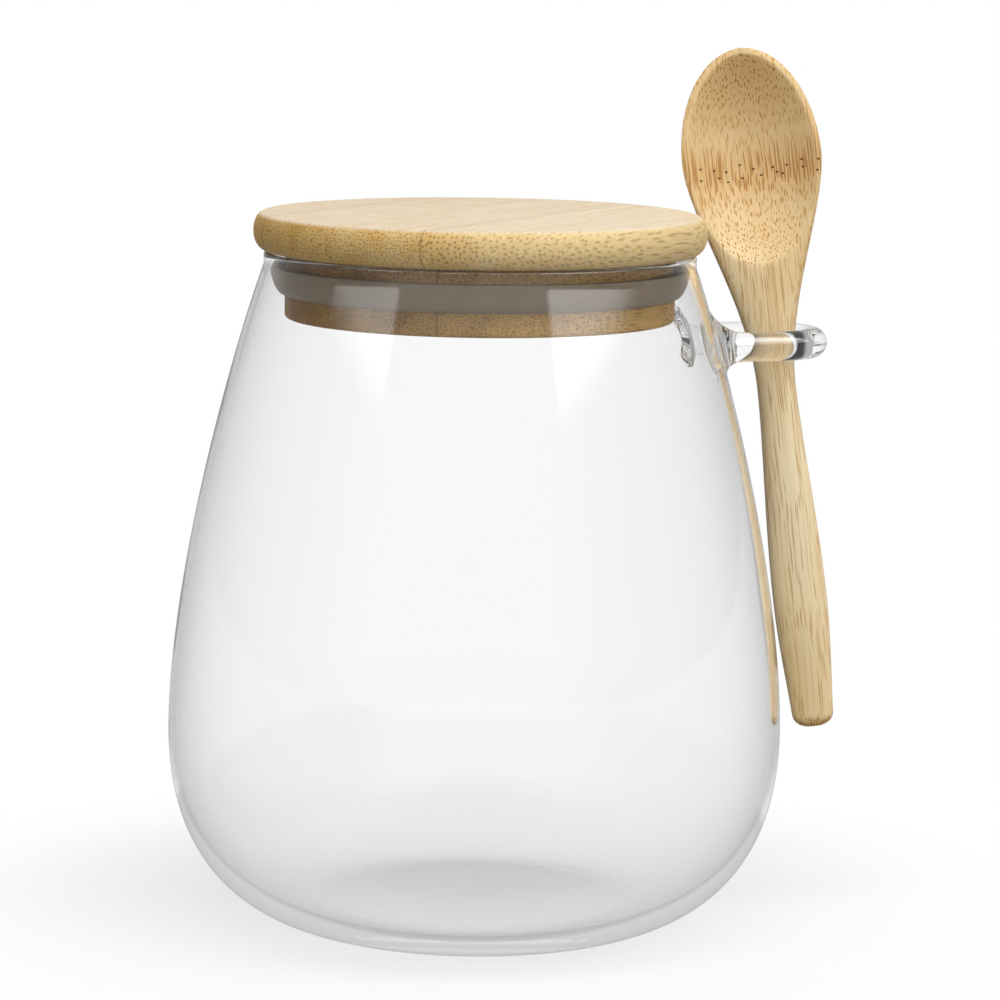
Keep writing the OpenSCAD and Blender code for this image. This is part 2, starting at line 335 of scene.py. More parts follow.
# %% Curves of the spoon
SPOON_L, BOWL_W, SPOON_NECK_W, HANDLE_W, END_W = 140.78, 28.9, 8.0, 11.1, 8.3
BOWL_S, NECK_S, HANDLE_S, END_ROUND = 117.8, 70.5, 26.6, 3.0
HANDLE_T, NECK_T, BOWL_DEPTH, POCKET_DEPTH = 4.6, 6.4, 9.0, 6.0
POCKET_S, POCKET_L, POCKET_HALF_W, RIM_ROUND = 117.5, 44.4, 13.4, 1.2
BOWL_SWING, NECK_SWING, HANDLE_SWING, TIP_SWING = 0.85, 0.9, 0.8, 0.6
END_THIN, POCKET_SOFT = 0.6, 0.04


def round_over(share, power=2.4):
    return max(0, 1 - abs(share) ** power) ** (1 / power)


def bowl_share(s):
    """Share of the way from the neck to the widest line of the bowl."""
    return ease(min(1, max(0, (s - NECK_S) / (BOWL_S - NECK_S))))


def half_width(s):
    if s >= BOWL_S:
        return BOWL_W / 2 * math.sqrt(max(0, 1 - ((s - BOWL_S) / (SPOON_L - BOWL_S)) ** 2))
    if s >= NECK_S:
        return mix(BOWL_W, SPOON_NECK_W, ease(((BOWL_S - s) / (BOWL_S - NECK_S)) ** BOWL_SWING)) / 2
    if s >= HANDLE_S:
        return mix(SPOON_NECK_W, HANDLE_W, ease(((NECK_S - s) / (NECK_S - HANDLE_S)) ** NECK_SWING)) / 2
    end = round_over(max(0, 1 - s / END_ROUND))
    return mix(END_W, HANDLE_W, ease((s / HANDLE_S) ** HANDLE_SWING)) / 2 * end


def front_height(s):
    if s >= NECK_S:
        return NECK_T / 2
    if s >= HANDLE_S:
        return mix(HANDLE_T, NECK_T, ease((s - HANDLE_S) / (NECK_S - HANDLE_S))) / 2
    return HANDLE_T / 2 * mix(END_THIN, 1, ease(s / HANDLE_S)) * round_over(max(0, 1 - s / END_ROUND))


def edge_height(s):
    return (NECK_T / 2 - RIM_ROUND) * bowl_share(s)


def back_depth(s):
    bowl_back = BOWL_DEPTH - NECK_T / 2
    if s >= BOWL_S:
        tip = max(0, 1 - ((s - BOWL_S) / (SPOON_L - BOWL_S)) ** 2) ** TIP_SWING
        return mix(-edge_height(s), bowl_back, tip)
    if s >= NECK_S:
        return mix(NECK_T / 2, bowl_back, bowl_share(s))
    return front_height(s)


def pocket_depth(s, v):
    far = (v / POCKET_HALF_W) ** 2 + ((s - POCKET_S) / (POCKET_L / 2)) ** 2
    inside = max(0, 1 - far)
    return (1 + POCKET_SOFT) * POCKET_DEPTH * inside ** 2 / (inside + POCKET_SOFT)


widths = [round(2 * half_width(s), 1) for s in (HANDLE_S, NECK_S, BOWL_S)]
print("Widths of handle, neck and bowl in mm:", widths)

# %% Carve the spoon
HANG_L, TIP_GAP = 80.0, 0.03
SPOON_X, SPOON_Y = 60.39, 19.1
LEAN_BACK, LEAN_SIDE = math.radians(-10.5), math.radians(-7)
SPOON_ROWS, SPOON_COLUMNS = 300, 128
spoon_place = Matrix.LocRotScale(
    Vector((SPOON_X, SPOON_Y, LOOP_H)) * MM, Euler((LEAN_BACK, LEAN_SIDE, 0)), None
)


def spoon_point(row, share):
    """A point of the spoon: rows go from the handle's end to the tip, a turn goes over the front first."""
    s = TIP_GAP + (SPOON_L - 2 * TIP_GAP) * (1 - math.cos(math.pi * row / SPOON_ROWS)) / 2
    width, edge = half_width(s), edge_height(s)
    across = math.cos(math.tau * share)
    if share < 0.5:
        height = edge + (front_height(s) - edge) * round_over(across) - pocket_depth(s, width * across)
    else:
        height = edge - (back_depth(s) + edge) * round_over(across)
    return spoon_place @ (Vector((width * across, -height, s - HANG_L)) * MM)


spoon = rolled("carved_spoon", SPOON_ROWS, SPOON_COLUMNS, spoon_point)
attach(spoon, "spoon")
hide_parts("spoon")

# %% [markdown]
# ## Tools for the finishes
# Every colour below is an sRGB hex value, as it would be picked from a swatch. Blender's shaders work
# with linear light, so one function converts them. A second one adds a node, sets it up and links it.

# %% Colour and node helpers
def colour(hex_code):
    shares = [int(hex_code[i:i + 2], 16) / 255 for i in (1, 3, 5)]
    return [c / 12.92 if c <= 0.04045 else ((c + 0.055) / 1.055) ** 2.4 for c in shares] + [1.0]


def add(tree, kind, inputs=None, **settings):
    """Adds a node. Each input is a plain value, or another node's output that is linked to it."""
    node = tree.nodes.new(kind)
    for key, value in settings.items():
        setattr(node, key, value)
    for key, value in (inputs or {}).items():
        if isinstance(value, bpy.types.NodeSocket):
            tree.links.new(value, node.inputs[key])
        else:
            node.inputs[key].default_value = value
    return node


def empty_tree(owner):
    owner.use_nodes = True
    owner.node_tree.nodes.clear()
    return owner.node_tree


print("Middle grey in linear light:", round(colour("#808080")[0], 3))

# %% [markdown]
# ## Bamboo for the lid
# Bamboo has no rings. Its wood is a pale ground full of darker bundles of fibres that all run along the
# stem. Cut across, they are dots about a millimetre apart; cut along, they are streaks. A picture of wood
# would have to be wrapped round the edge. One solid pattern gives both cuts by itself: Voronoi cells in
# two dimensions, which are endless along the fibres, so that each face of the lid shows its own cut.

# %% Fibres of the glued strips
FIBRE_TURN = math.radians(60)
STRIP_W, STRIP_SHIFT, SKIN_GAP = 21 * MM, 0.58, 0.7 * MM
WANDER_L, WANDER_W = 16 * MM, 2.2 * MM
SWELL_L, SWELL_W = 5 * MM, 1.0 * MM
FIBRE_L, FIBRE_W = 70 * MM, 0.45 * MM
BAND_L, BAND_W = 90 * MM, 8 * MM


def strip_pattern(tree, place, inner_gap):
    """Strips of STRIP_W side by side. The ones from near the stem's skin have bundles SKIN_GAP apart."""
    along = add(tree, "ShaderNodeMapping", {"Vector": place, "Rotation": (0, 0, -FIBRE_TURN)})

    # The fibres wander a little sideways on their way
    wander = add(
        tree, "ShaderNodeTexNoise", {"Vector": along.outputs[0], "Scale": 1 / WANDER_L, "Detail": 2.0},
    )
    shift = add(
        tree, "ShaderNodeVectorMath", {0: wander.outputs["Color"], 1: (0.5, 0.5, 0.5)},
        operation="SUBTRACT",
    )
    sideways = add(
        tree, "ShaderNodeVectorMath",
        {0: shift.outputs[0], 1: (0, WANDER_W, WANDER_W), 2: along.outputs[0]}, operation="MULTIPLY_ADD",
    )

    # Which strip a point is in
    axes = add(tree, "ShaderNodeSeparateXYZ", {0: along.outputs[0]})
    strip = add(
        tree, "ShaderNodeMath", {0: axes.outputs["Y"], 1: 1 / STRIP_W, 2: STRIP_SHIFT},
        operation="MULTIPLY_ADD",
    )
    strip_number = add(tree, "ShaderNodeMath", {0: strip.outputs[0]}, operation="FLOOR")

    # Noise drawn out along the fibres: the swelling of bundles, single fibres and slow bands of tone
    noises = []
    for length, width, detail in ((SWELL_L, SWELL_W, 0.0), (FIBRE_L, FIBRE_W, 2.0), (BAND_L, BAND_W, 1.0)):
        space = add(
            tree, "ShaderNodeVectorMath",
            {0: sideways.outputs[0], 1: (1 / length, 1 / width, 1 / width)}, operation="MULTIPLY",
        )
        noises.append(add(
            tree, "ShaderNodeTexNoise", {"Vector": space.outputs[0], "Scale": 1.0, "Detail": detail},
        ))
    swell, threads, bands = noises

    # Bundles lie side by side across the fibres and swell a little on their way
    spacing = add(
        tree, "ShaderNodeMapRange",
        {"Value": strip_number.outputs[0], "From Min": -1.0, "From Max": 0.0, "To Min": 1 / inner_gap,
         "To Max": 1 / SKIN_GAP},
    )
    across = add(
        tree, "ShaderNodeMapping", {"Vector": sideways.outputs[0], "Rotation": (0, math.pi / 2, 0)},
    )
    cells = add(
        tree, "ShaderNodeTexVoronoi",
        {"Vector": across.outputs[0], "Scale": spacing.outputs[0], "Randomness": 0.75},
        voronoi_dimensions="2D",
    )
    reach = add(
        tree, "ShaderNodeMath", {0: swell.outputs["Fac"], 1: 0.2, 2: cells.outputs["Distance"]},
        operation="MULTIPLY_ADD",
    )
    dots = add(
        tree, "ShaderNodeMapRange", {"Value": reach.outputs[0], "From Min": 0.42, "From Max": 0.25},
        interpolation_type="SMOOTHSTEP",
    )
    return strip, strip_number, dots, threads, bands


print("Strips", round(STRIP_W / MM), "mm wide, fibres", round(FIBRE_W / MM, 2), "mm")

# %% [markdown]
# The colours are laid over that pattern from the ground up: the tone of each strip, the sanded top face,
# whose pale tone is partly painted sheen, the bundles, single fibres and the glue lines. The board and its
# plug are the same laminate, so one function makes both. The plug is darker, and the board was sanded and
# oiled.

# %% Strip bamboo for the lid and the plug
RELIEF_DEPTH = 0.15 * MM


def strip_bamboo(name, ground_light, ground_dark, bundle, top_tone_with_sheen, inner_gap):
    """Laminated bamboo, oiled: a warm, nearly matt wood with fine dark dots and streaks."""
    material = bpy.data.materials.new(name)
    tree = empty_tree(material)
    spot = add(tree, "ShaderNodeTexCoord")
    strip, strip_number, dots, threads, bands = strip_pattern(tree, spot.outputs["Object"], inner_gap)

    # Each strip has its own tone, and a fine glue line parts it from the next
    strip_tone = add(
        tree, "ShaderNodeTexWhiteNoise", {"W": strip_number.outputs[0]}, noise_dimensions="1D",
    )
    strip_edge = add(tree, "ShaderNodeMath", {0: strip.outputs[0], 1: 1.0}, operation="PINGPONG")
    glue = add(
        tree, "ShaderNodeMapRange",
        {"Value": strip_edge.outputs[0], "From Min": 0.012, "From Max": 0.004},
    )

    # Ground colour from the bands, the strips, and a gradient across the board that is darker and more
    # golden towards the left and the back
    board_tone = add(
        tree, "ShaderNodeMath", {0: strip.outputs[0], 1: 0.2, 2: bands.outputs["Fac"]},
        operation="MULTIPLY_ADD",
    )
    tone = add(
        tree, "ShaderNodeMath", {0: strip_tone.outputs["Value"], 1: 0.2, 2: board_tone.outputs[0]},
        operation="MULTIPLY_ADD",
    )
    tone_share = add(
        tree, "ShaderNodeMapRange", {"Value": tone.outputs[0], "From Min": 0.4, "From Max": 1.0},
    )
    ground = add(
        tree, "ShaderNodeMix",
        {0: tone_share.outputs[0], 6: colour(ground_light), 7: colour(ground_dark)}, data_type="RGBA",
    )

    # The upper face is sanded along the fibres and paler, and part of that pale tone is painted sheen.
    # Bundles show less on both flat faces
    face = add(tree, "ShaderNodeSeparateXYZ", {0: spot.outputs["Normal"]})
    face_up = add(tree, "ShaderNodeMath", {0: face.outputs["Z"]}, operation="ABSOLUTE")
    flat = add(
        tree, "ShaderNodeMapRange",
        {"Value": face.outputs["Z"], "From Min": 0.6, "From Max": 0.95, "To Max": 0.75},
    )
    sanded_with_painted_sheen = add(
        tree, "ShaderNodeMix", {0: flat.outputs[0], 6: ground.outputs[2], 7: colour(top_tone_with_sheen)},
        data_type="RGBA",
    )
    edge_contrast = add(
        tree, "ShaderNodeMapRange", {"Value": tone_share.outputs[0], "To Min": 0.42, "To Max": 0.85},
    )
    contrast = add(
        tree, "ShaderNodeMapRange",
        {"Value": face_up.outputs[0], "From Min": 0.5, "From Max": 0.9,
         "To Min": edge_contrast.outputs[0], "To Max": 0.15},
    )
    dot_share = add(
        tree, "ShaderNodeMath", {0: dots.outputs[0], 1: contrast.outputs[0]}, operation="MULTIPLY",
    )
    dotted = add(
        tree, "ShaderNodeMix", {0: dot_share.outputs[0], 6: sanded_with_painted_sheen.outputs[2], 7: colour(bundle)},
        data_type="RGBA",
    )
    thread_share = add(
        tree, "ShaderNodeMapRange",
        {"Value": threads.outputs["Fac"], "From Min": 0.45, "From Max": 0.75, "To Max": 0.5},
    )
    threaded = add(
        tree, "ShaderNodeMix", {0: thread_share.outputs[0], 6: dotted.outputs[2], 7: colour(ground_dark)},
        data_type="RGBA",
    )
    glue_share = add(tree, "ShaderNodeMath", {0: glue.outputs[0], 1: 0.55}, operation="MULTIPLY")
    glued = add(
        tree, "ShaderNodeMix", {0: glue_share.outputs[0], 6: threaded.outputs[2], 7: colour(bundle)},
        data_type="RGBA",
    )

    # Open fibre ends and streaks are a little rough and sunk
    roughness = add(
        tree, "ShaderNodeMapRange", {"Value": threads.outputs["Fac"], "To Min": 0.42, "To Max": 0.62},
    )
    relief = add(
        tree, "ShaderNodeMath", {0: dot_share.outputs[0], 1: thread_share.outputs[0]}, operation="ADD",
    )
    bump = add(
        tree, "ShaderNodeBump", {"Height": relief.outputs[0], "Strength": 0.35, "Distance": RELIEF_DEPTH},
        invert=True,
    )
    shader = add(
        tree, "ShaderNodeBsdfPrincipled",
        {"Base Color": glued.outputs[2], "Roughness": roughness.outputs[0], "Normal": bump.outputs[0],
         "Specular IOR Level": 0.25},
    )
    add(tree, "ShaderNodeOutputMaterial", {"Surface": shader.outputs[0]})
    print(name, len(tree.nodes), "nodes")
    return material


# The fourth colour is the board's top face, paler for its sanding and for a painted sheen
board.data.materials.append(
    strip_bamboo("sanded_strip_bamboo", "#e4c994", "#c49a50", "#7c5826", "#efe3ce", 1.0 * MM)
)
plug.data.materials.append(
    strip_bamboo("turned_strip_bamboo", "#e8bc74", "#ac8040", "#6c4a1c", "#dcae60", 0.7 * MM)
)

# %% [markdown]
# ## Bamboo for the spoon
# The spoon is carved from one piece and oiled. Its fibres follow its own length, so the pattern is laid
# in the spoon's own axes with a Mapping node. The scooped pocket cuts the bundles at a slant: dots near
# the tip, dashes lower down and long streaks on the neck. They could be painted, but one solid pattern
# gives them all.

# %% Fibres along the spoon
SPOON_BUNDLE_GAP = 0.55 * MM
SPOON_WANDER_L, SPOON_WANDER_W = 14 * MM, 0.8 * MM
SPOON_FIBRE_L, SPOON_FIBRE_W = 60 * MM, 0.5 * MM
SPOON_BAND_L, SPOON_BAND_W = 45 * MM, 6 * MM

spoon_finish = bpy.data.materials.new("carved_oiled_bamboo")
tree = empty_tree(spoon_finish)
spot = add(tree, "ShaderNodeTexCoord")
turn = spoon_place.to_euler()
own = add(
    tree, "ShaderNodeMapping",
    {"Vector": spot.outputs["Object"], "Location": spoon_place.translation, "Rotation": turn},
    vector_type="TEXTURE",
)
axes = add(tree, "ShaderNodeSeparateXYZ", {0: own.outputs[0]})
wander = add(
    tree, "ShaderNodeTexNoise", {"Vector": own.outputs[0], "Scale": 1 / SPOON_WANDER_L, "Detail": 1.0},
)
shift = add(
    tree, "ShaderNodeVectorMath", {0: wander.outputs["Color"], 1: (0.5, 0.5, 0.5)}, operation="SUBTRACT",
)
fibre = add(
    tree, "ShaderNodeVectorMath",
    {0: shift.outputs[0], 1: (SPOON_WANDER_W, SPOON_WANDER_W, 0), 2: own.outputs[0]},
    operation="MULTIPLY_ADD",
)

# Noise drawn out along the fibres: the swelling of bundles, single fibres and slow bands of tone
noises = []
for length, width, detail in (
    (SWELL_L, SPOON_BUNDLE_GAP, 0.0), (SPOON_FIBRE_L, SPOON_FIBRE_W, 2.0), (SPOON_BAND_L, SPOON_BAND_W, 1.0),
):
    space = add(
        tree, "ShaderNodeVectorMath", {0: fibre.outputs[0], 1: (1 / width, 1 / width, 1 / length)},
        operation="MULTIPLY",
    )
    noises.append(add(
        tree, "ShaderNodeTexNoise", {"Vector": space.outputs[0], "Scale": 1.0, "Detail": detail},
    ))
swell, threads, bands = noises

# Bundles lie side by side across the fibres; along them they swell and break every few millimetres
cells = add(
    tree, "ShaderNodeTexVoronoi",
    {"Vector": fibre.outputs[0], "Scale": 1 / SPOON_BUNDLE_GAP, "Randomness": 0.7},
    voronoi_dimensions="2D",
)
reach = add(
    tree, "ShaderNodeMath", {0: swell.outputs["Fac"], 1: 0.45, 2: cells.outputs["Distance"]},
    operation="MULTIPLY_ADD",
)
print("Spoon bundles", round(SPOON_BUNDLE_GAP / MM, 2), "mm apart")

# %% [markdown]
# A node of the stem, the ring where a leaf grew, crosses the bowl as a darker band. Its fibres are swollen,
# and they run past its edge, so the band's place is shifted by the pattern of single fibres. How steeply a
# face cuts the fibres is read from its normal in the spoon's axes: end grain is darker and shows its bundles
# more. The same normal tells where a face turns downwards, and there a painted shade is laid on later.

# %% The stem's node and the cut of the faces
NODE_Z, NODE_RAGGED = 39.5 * MM, 9 * MM
NODE_EDGE, NODE_CORE = 8.0 * MM, 1.5 * MM

ragged = add(
    tree, "ShaderNodeMath", {0: threads.outputs["Fac"], 1: NODE_RAGGED, 2: axes.outputs["Z"]},
    operation="MULTIPLY_ADD",
)
from_node = add(tree, "ShaderNodeMath", {0: ragged.outputs[0], 1: NODE_Z}, operation="SUBTRACT")
off_node = add(tree, "ShaderNodeMath", {0: from_node.outputs[0]}, operation="ABSOLUTE")
node_band = add(
    tree, "ShaderNodeMapRange",
    {"Value": off_node.outputs[0], "From Min": NODE_EDGE, "From Max": NODE_CORE},
    interpolation_type="SMOOTHSTEP",
)
swollen = add(
    tree, "ShaderNodeMath", {0: node_band.outputs[0], 1: -0.12, 2: reach.outputs[0]},
    operation="MULTIPLY_ADD",
)
dots = add(
    tree, "ShaderNodeMapRange", {"Value": swollen.outputs[0], "From Min": 0.46, "From Max": 0.36},
    interpolation_type="SMOOTHSTEP",
)

own_normal = add(
    tree, "ShaderNodeMapping", {"Vector": spot.outputs["Normal"], "Rotation": turn}, vector_type="TEXTURE",
)
slant = add(tree, "ShaderNodeSeparateXYZ", {0: own_normal.outputs[0]})
steep = add(tree, "ShaderNodeMath", {0: slant.outputs["Z"]}, operation="ABSOLUTE")
end_grain = add(
    tree, "ShaderNodeMapRange",
    {"Value": steep.outputs[0], "From Min": 0.1, "From Max": 0.35, "To Max": 0.45},
)
# Painted shade: where a face of the bowl turns downwards, as the pocket's upper wall does, its tone is
# browner
painted_shade = add(
    tree, "ShaderNodeMapRange",
    {"Value": slant.outputs["Z"], "From Min": -0.1, "From Max": -0.55, "To Max": 0.85},
)
streaks = add(
    tree, "ShaderNodeMath", {0: node_band.outputs[0], 1: 0.26, 2: 0.54}, operation="MULTIPLY_ADD",
)
dot_strength = add(
    tree, "ShaderNodeMath", {0: streaks.outputs[0], 1: end_grain.outputs[0]}, operation="ADD",
    use_clamp=True,
)
dot_share = add(
    tree, "ShaderNodeMath", {0: dots.outputs[0], 1: dot_strength.outputs[0]}, operation="MULTIPLY",
)
print("Node of the stem", round((NODE_Z - NODE_RAGGED / 2) / MM), "mm above the loop")

# %% [markdown]
# The ground is palest in the middle of the handle and browner towards both ends. The scoop goes through to
# the inner wood of the stem, which is browner than the rim. Where the bowl's wall faces down, a browner
# painted shade is laid over it. Over that ground come the bundles, painted darker in that shade, the single
# fibres and the band of the node.

# %% Colours of the spoon
PALE_BELOW, FADE_L = 25 * MM, 110 * MM
BOWL_FOOT, BOWL_FULL = 8 * MM, 18 * MM
SCOOP_EDGE, SCOOP_FULL = -2.7 * MM, -0.6 * MM

from_middle = add(tree, "ShaderNodeMath", {0: axes.outputs["Z"], 1: PALE_BELOW}, operation="ADD")
to_end = add(tree, "ShaderNodeMath", {0: from_middle.outputs[0]}, operation="ABSOLUTE")
end_tone = add(
    tree, "ShaderNodeMath", {0: to_end.outputs[0], 1: 1 / FADE_L, 2: bands.outputs["Fac"]},
    operation="MULTIPLY_ADD",
)
ground_share = add(
    tree, "ShaderNodeMapRange", {"Value": end_tone.outputs[0], "From Min": 0.4, "From Max": 1.1},
)
ground = add(
    tree, "ShaderNodeMix", {0: ground_share.outputs[0], 6: colour("#f3e1bb"), 7: colour("#dfc290")},
    data_type="RGBA",
)
in_bowl = add(
    tree, "ShaderNodeMapRange",
    {"Value": axes.outputs["Z"], "From Min": BOWL_FOOT, "From Max": BOWL_FULL, "To Max": 0.65},
)
scooped = add(
    tree, "ShaderNodeMapRange",
    {"Value": axes.outputs["Y"], "From Min": SCOOP_EDGE, "From Max": SCOOP_FULL,
     "To Max": in_bowl.outputs[0]},
)
inner = add(
    tree, "ShaderNodeMix", {0: scooped.outputs[0], 6: ground.outputs[2], 7: colour("#dcbf8e")},
    data_type="RGBA",
)
# Painted shade: faces that turn down get a browner ground
inner_with_painted_shade = add(
    tree, "ShaderNodeMix", {0: painted_shade.outputs[0], 6: inner.outputs[2], 7: colour("#c0965a")},
    data_type="RGBA",
)

# Painted shade also darkens the bundles where faces turn down
bundle_in_painted_shade = add(
    tree, "ShaderNodeMix", {0: painted_shade.outputs[0], 6: colour("#b47a2e"), 7: colour("#80541f")},
    data_type="RGBA",
)
bundle = add(
    tree, "ShaderNodeMix", {0: node_band.outputs[0], 6: bundle_in_painted_shade.outputs[2], 7: colour("#9c611c")},
    data_type="RGBA",
)
dotted = add(
    tree, "ShaderNodeMix", {0: dot_share.outputs[0], 6: inner_with_painted_shade.outputs[2], 7: bundle.outputs[2]},
    data_type="RGBA",
)
thread_share = add(
    tree, "ShaderNodeMapRange",
    {"Value": threads.outputs["Fac"], "From Min": 0.52, "From Max": 0.68, "To Max": 0.32},
)
threaded = add(
    tree, "ShaderNodeMix", {0: thread_share.outputs[0], 6: dotted.outputs[2], 7: colour("#c39245")},
    data_type="RGBA",
)
node_share = add(tree, "ShaderNodeMath", {0: node_band.outputs[0], 1: 0.3}, operation="MULTIPLY")
banded = add(
    tree, "ShaderNodeMix", {0: node_share.outputs[0], 6: threaded.outputs[2], 7: colour("#bf8a45")},
    data_type="RGBA",
)
print("Colours of the spoon with", len(tree.nodes), "nodes so far")

# %% [markdown]
# The node has two rows of small pits, where rootlets were. A second Voronoi pattern, stretched to the
# pits' own spacing and kept to two rows, draws them. Pits and bundles are sunk a little, and the wood is
# nearly matt.

# %% Pits of the node, and the spoon's finish
PIT_ROW, PIT_STEP, PIT_Z = 2.2, 3, 33.7

row = add(
    tree, "ShaderNodeMath", {0: axes.outputs["Z"], 1: 1 / (PIT_ROW * MM), 2: -PIT_Z / PIT_ROW},
    operation="MULTIPLY_ADD",
)
column = add(tree, "ShaderNodeMath", {0: axes.outputs["X"], 1: 1 / (PIT_STEP * MM)}, operation="MULTIPLY")
pit_space = add(tree, "ShaderNodeCombineXYZ", {"X": column.outputs[0], "Y": row.outputs[0]})
pits = add(
    tree, "ShaderNodeTexVoronoi", {"Vector": pit_space.outputs[0], "Scale": 1.0, "Randomness": 0.7},
    voronoi_dimensions="2D",
)
pit = add(
    tree, "ShaderNodeMapRange", {"Value": pits.outputs["Distance"], "From Min": 0.13, "From Max": 0.08},
    interpolation_type="SMOOTHSTEP",
)
in_rows = add(tree, "ShaderNodeMath", {0: row.outputs[0], 1: 1.0, 2: 1.0}, operation="COMPARE")
pit_share = add(tree, "ShaderNodeMath", {0: pit.outputs[0], 1: in_rows.outputs[0]}, operation="MULTIPLY")
pitted = add(
    tree, "ShaderNodeMix", {0: pit_share.outputs[0], 6: banded.outputs[2], 7: colour("#5c4022")},
    data_type="RGBA",
)

roughness = add(
    tree, "ShaderNodeMapRange", {"Value": threads.outputs["Fac"], "To Min": 0.45, "To Max": 0.65},
)
relief = add(
    tree, "ShaderNodeMath", {0: pit_share.outputs[0], 1: 3.0, 2: dot_share.outputs[0]},
    operation="MULTIPLY_ADD",
)
bump = add(
    tree, "ShaderNodeBump", {"Height": relief.outputs[0], "Strength": 0.35, "Distance": RELIEF_DEPTH},
    invert=True,
)
shader = add(
    tree, "ShaderNodeBsdfPrincipled",
    {"Base Color": pitted.outputs[2], "Roughness": roughness.outputs[0], "Normal": bump.outputs[0],
     "Specular IOR Level": 0.25},
)
add(tree, "ShaderNodeOutputMaterial", {"Surface": shader.outputs[0]})
spoon.data.materials.append(spoon_finish)
print(spoon_finish.name, len(tree.nodes), "nodes")

# %% [markdown]
# ## Silicone
# Moulded silicone is milky: light enters it, scatters and comes out again, so it takes on some of the
# wood behind it. It could be a plain grey plastic, but that looks like paint. A share of subsurface
# scattering gives the milk, and a fine mottle gives the moulded skin.

# %% Moulded silicone for the seal
SILICONE_IOR, MILK_DEPTH = 1.41, 1.5 * MM
MOTTLE_W, SKIN_GRAIN, SKIN_DEPTH = 6 * MM, 0.6 * MM, 0.05 * MM

seal_finish = bpy.data.materials.new("moulded_silicone")
tree = empty_tree(seal_finish)
spot = add(tree, "ShaderNodeTexCoord")
mottle = add(
    tree, "ShaderNodeTexNoise", {"Vector": spot.outputs["Object"], "Scale": 1 / MOTTLE_W, "Detail": 3.0},
)
tone = add(
    tree, "ShaderNodeMix", {0: mottle.outputs["Fac"], 6: colour("#a4947e"), 7: colour("#92826a")},
    data_type="RGBA",
)
skin = add(
    tree, "ShaderNodeTexNoise", {"Vector": spot.outputs["Object"], "Scale": 1 / SKIN_GRAIN, "Detail": 2.0},
)
roughness = add(
    tree, "ShaderNodeMapRange", {"Value": skin.outputs["Fac"], "To Min": 0.38, "To Max": 0.55},
)
bump = add(
    tree, "ShaderNodeBump", {"Height": skin.outputs["Fac"], "Strength": 0.1, "Distance": SKIN_DEPTH},
)
shader = add(
    tree, "ShaderNodeBsdfPrincipled",
    {"Base Color": tone.outputs[2], "Roughness": roughness.outputs[0], "Normal": bump.outputs[0],
     "IOR": SILICONE_IOR, "Subsurface Weight": 0.25, "Subsurface Radius": (1.0, 0.9, 0.8),
     "Subsurface Scale": MILK_DEPTH},
)
add(tree, "ShaderNodeOutputMaterial", {"Surface": shader.outputs[0]})
seal.data.materials.append(seal_finish)
print(seal_finish.name, len(tree.nodes), "nodes")

# %% [markdown]
# ## Glass
# Blown glass is smooth but never quite even: its faces wave by hundredths of a millimetre, and a few
# small seeds of air stay in it. A weak bump shows both. A glass shader alone would keep the lamps from
# what is inside the jar, because bent light takes very many samples to find. So shadow rays go straight
# through, and lose only what the glass reflects.

# %% Blown glass for the jar and the loop
GLASS_IOR, GLASS_PASSES = 1.47, 0.92
WAVE_L, WAVE_DEPTH, SEED_GAP = 32 * MM, 0.3 * MM, 22 * MM

glass_finish = bpy.data.materials.new("blown_borosilicate_glass")
tree = empty_tree(glass_finish)
spot = add(tree, "ShaderNodeTexCoord")
waves = add(
    tree, "ShaderNodeTexNoise", {"Vector": spot.outputs["Object"], "Scale": 1 / WAVE_L, "Detail": 1.0},
)
seeds = add(tree, "ShaderNodeTexVoronoi", {"Vector": spot.outputs["Object"], "Scale": 1 / SEED_GAP})
seed = add(
    tree, "ShaderNodeMapRange", {"Value": seeds.outputs["Distance"], "From Min": 0.022, "From Max": 0.012},
)
height = add(
    tree, "ShaderNodeMath", {0: seed.outputs[0], 1: 0.4, 2: waves.outputs["Fac"]}, operation="MULTIPLY_ADD",
)
bump = add(
    tree, "ShaderNodeBump", {"Height": height.outputs[0], "Strength": 0.12, "Distance": WAVE_DEPTH},
)
shader = add(
    tree, "ShaderNodeBsdfPrincipled",
    {"Base Color": colour("#ffffff"), "Roughness": 0.0, "IOR": GLASS_IOR, "Transmission Weight": 1.0,
     "Normal": bump.outputs[0]},
)
passing = add(tree, "ShaderNodeBsdfTransparent", {"Color": [GLASS_PASSES] * 3 + [1]})
path = add(tree, "ShaderNodeLightPath")
surface = add(
    tree, "ShaderNodeMixShader",
    {0: path.outputs["Is Shadow Ray"], 1: shader.outputs[0], 2: passing.outputs[0]},
)
add(tree, "ShaderNodeOutputMaterial", {"Surface": surface.outputs[0]})
glass.data.materials.clear()
glass.data.materials.append(glass_finish)
print(glass_finish.name, len(tree.nodes), "nodes")

# %% [markdown]
# ## Floor
# The object stands on a plain white sweep. Near the jar the floor is a real white surface that takes the
# soft shadow. Further out, where no shadow falls, it is white for the camera. The Light Path node tells
# which ray looks at the floor. Through the glass it glows white too, with a painted shadow that greys it
# under the jar. Mirrored in the glass it is as dim as the room, and the wood gets light from it as from a
# grey card.

# %% Make the floor
FLOOR_SIZE, FLOOR_DROP = 4.0, 0.0003

bm = bmesh.new()
floor_place = Matrix.Translation((0, 0, -FLOOR_DROP))
bmesh.ops.create_grid(bm, x_segments=1, y_segments=1, size=FLOOR_SIZE, matrix=floor_place)
floor = piece_from("floor", bm)

# %% White sweep for the floor
SHADOW_NEAR, SHADOW_FAR, NEAR_WHITE = 0.06, 0.14, 0.62
CLEAR_OUT, ROOM_LEVEL = 0.3, 0.42
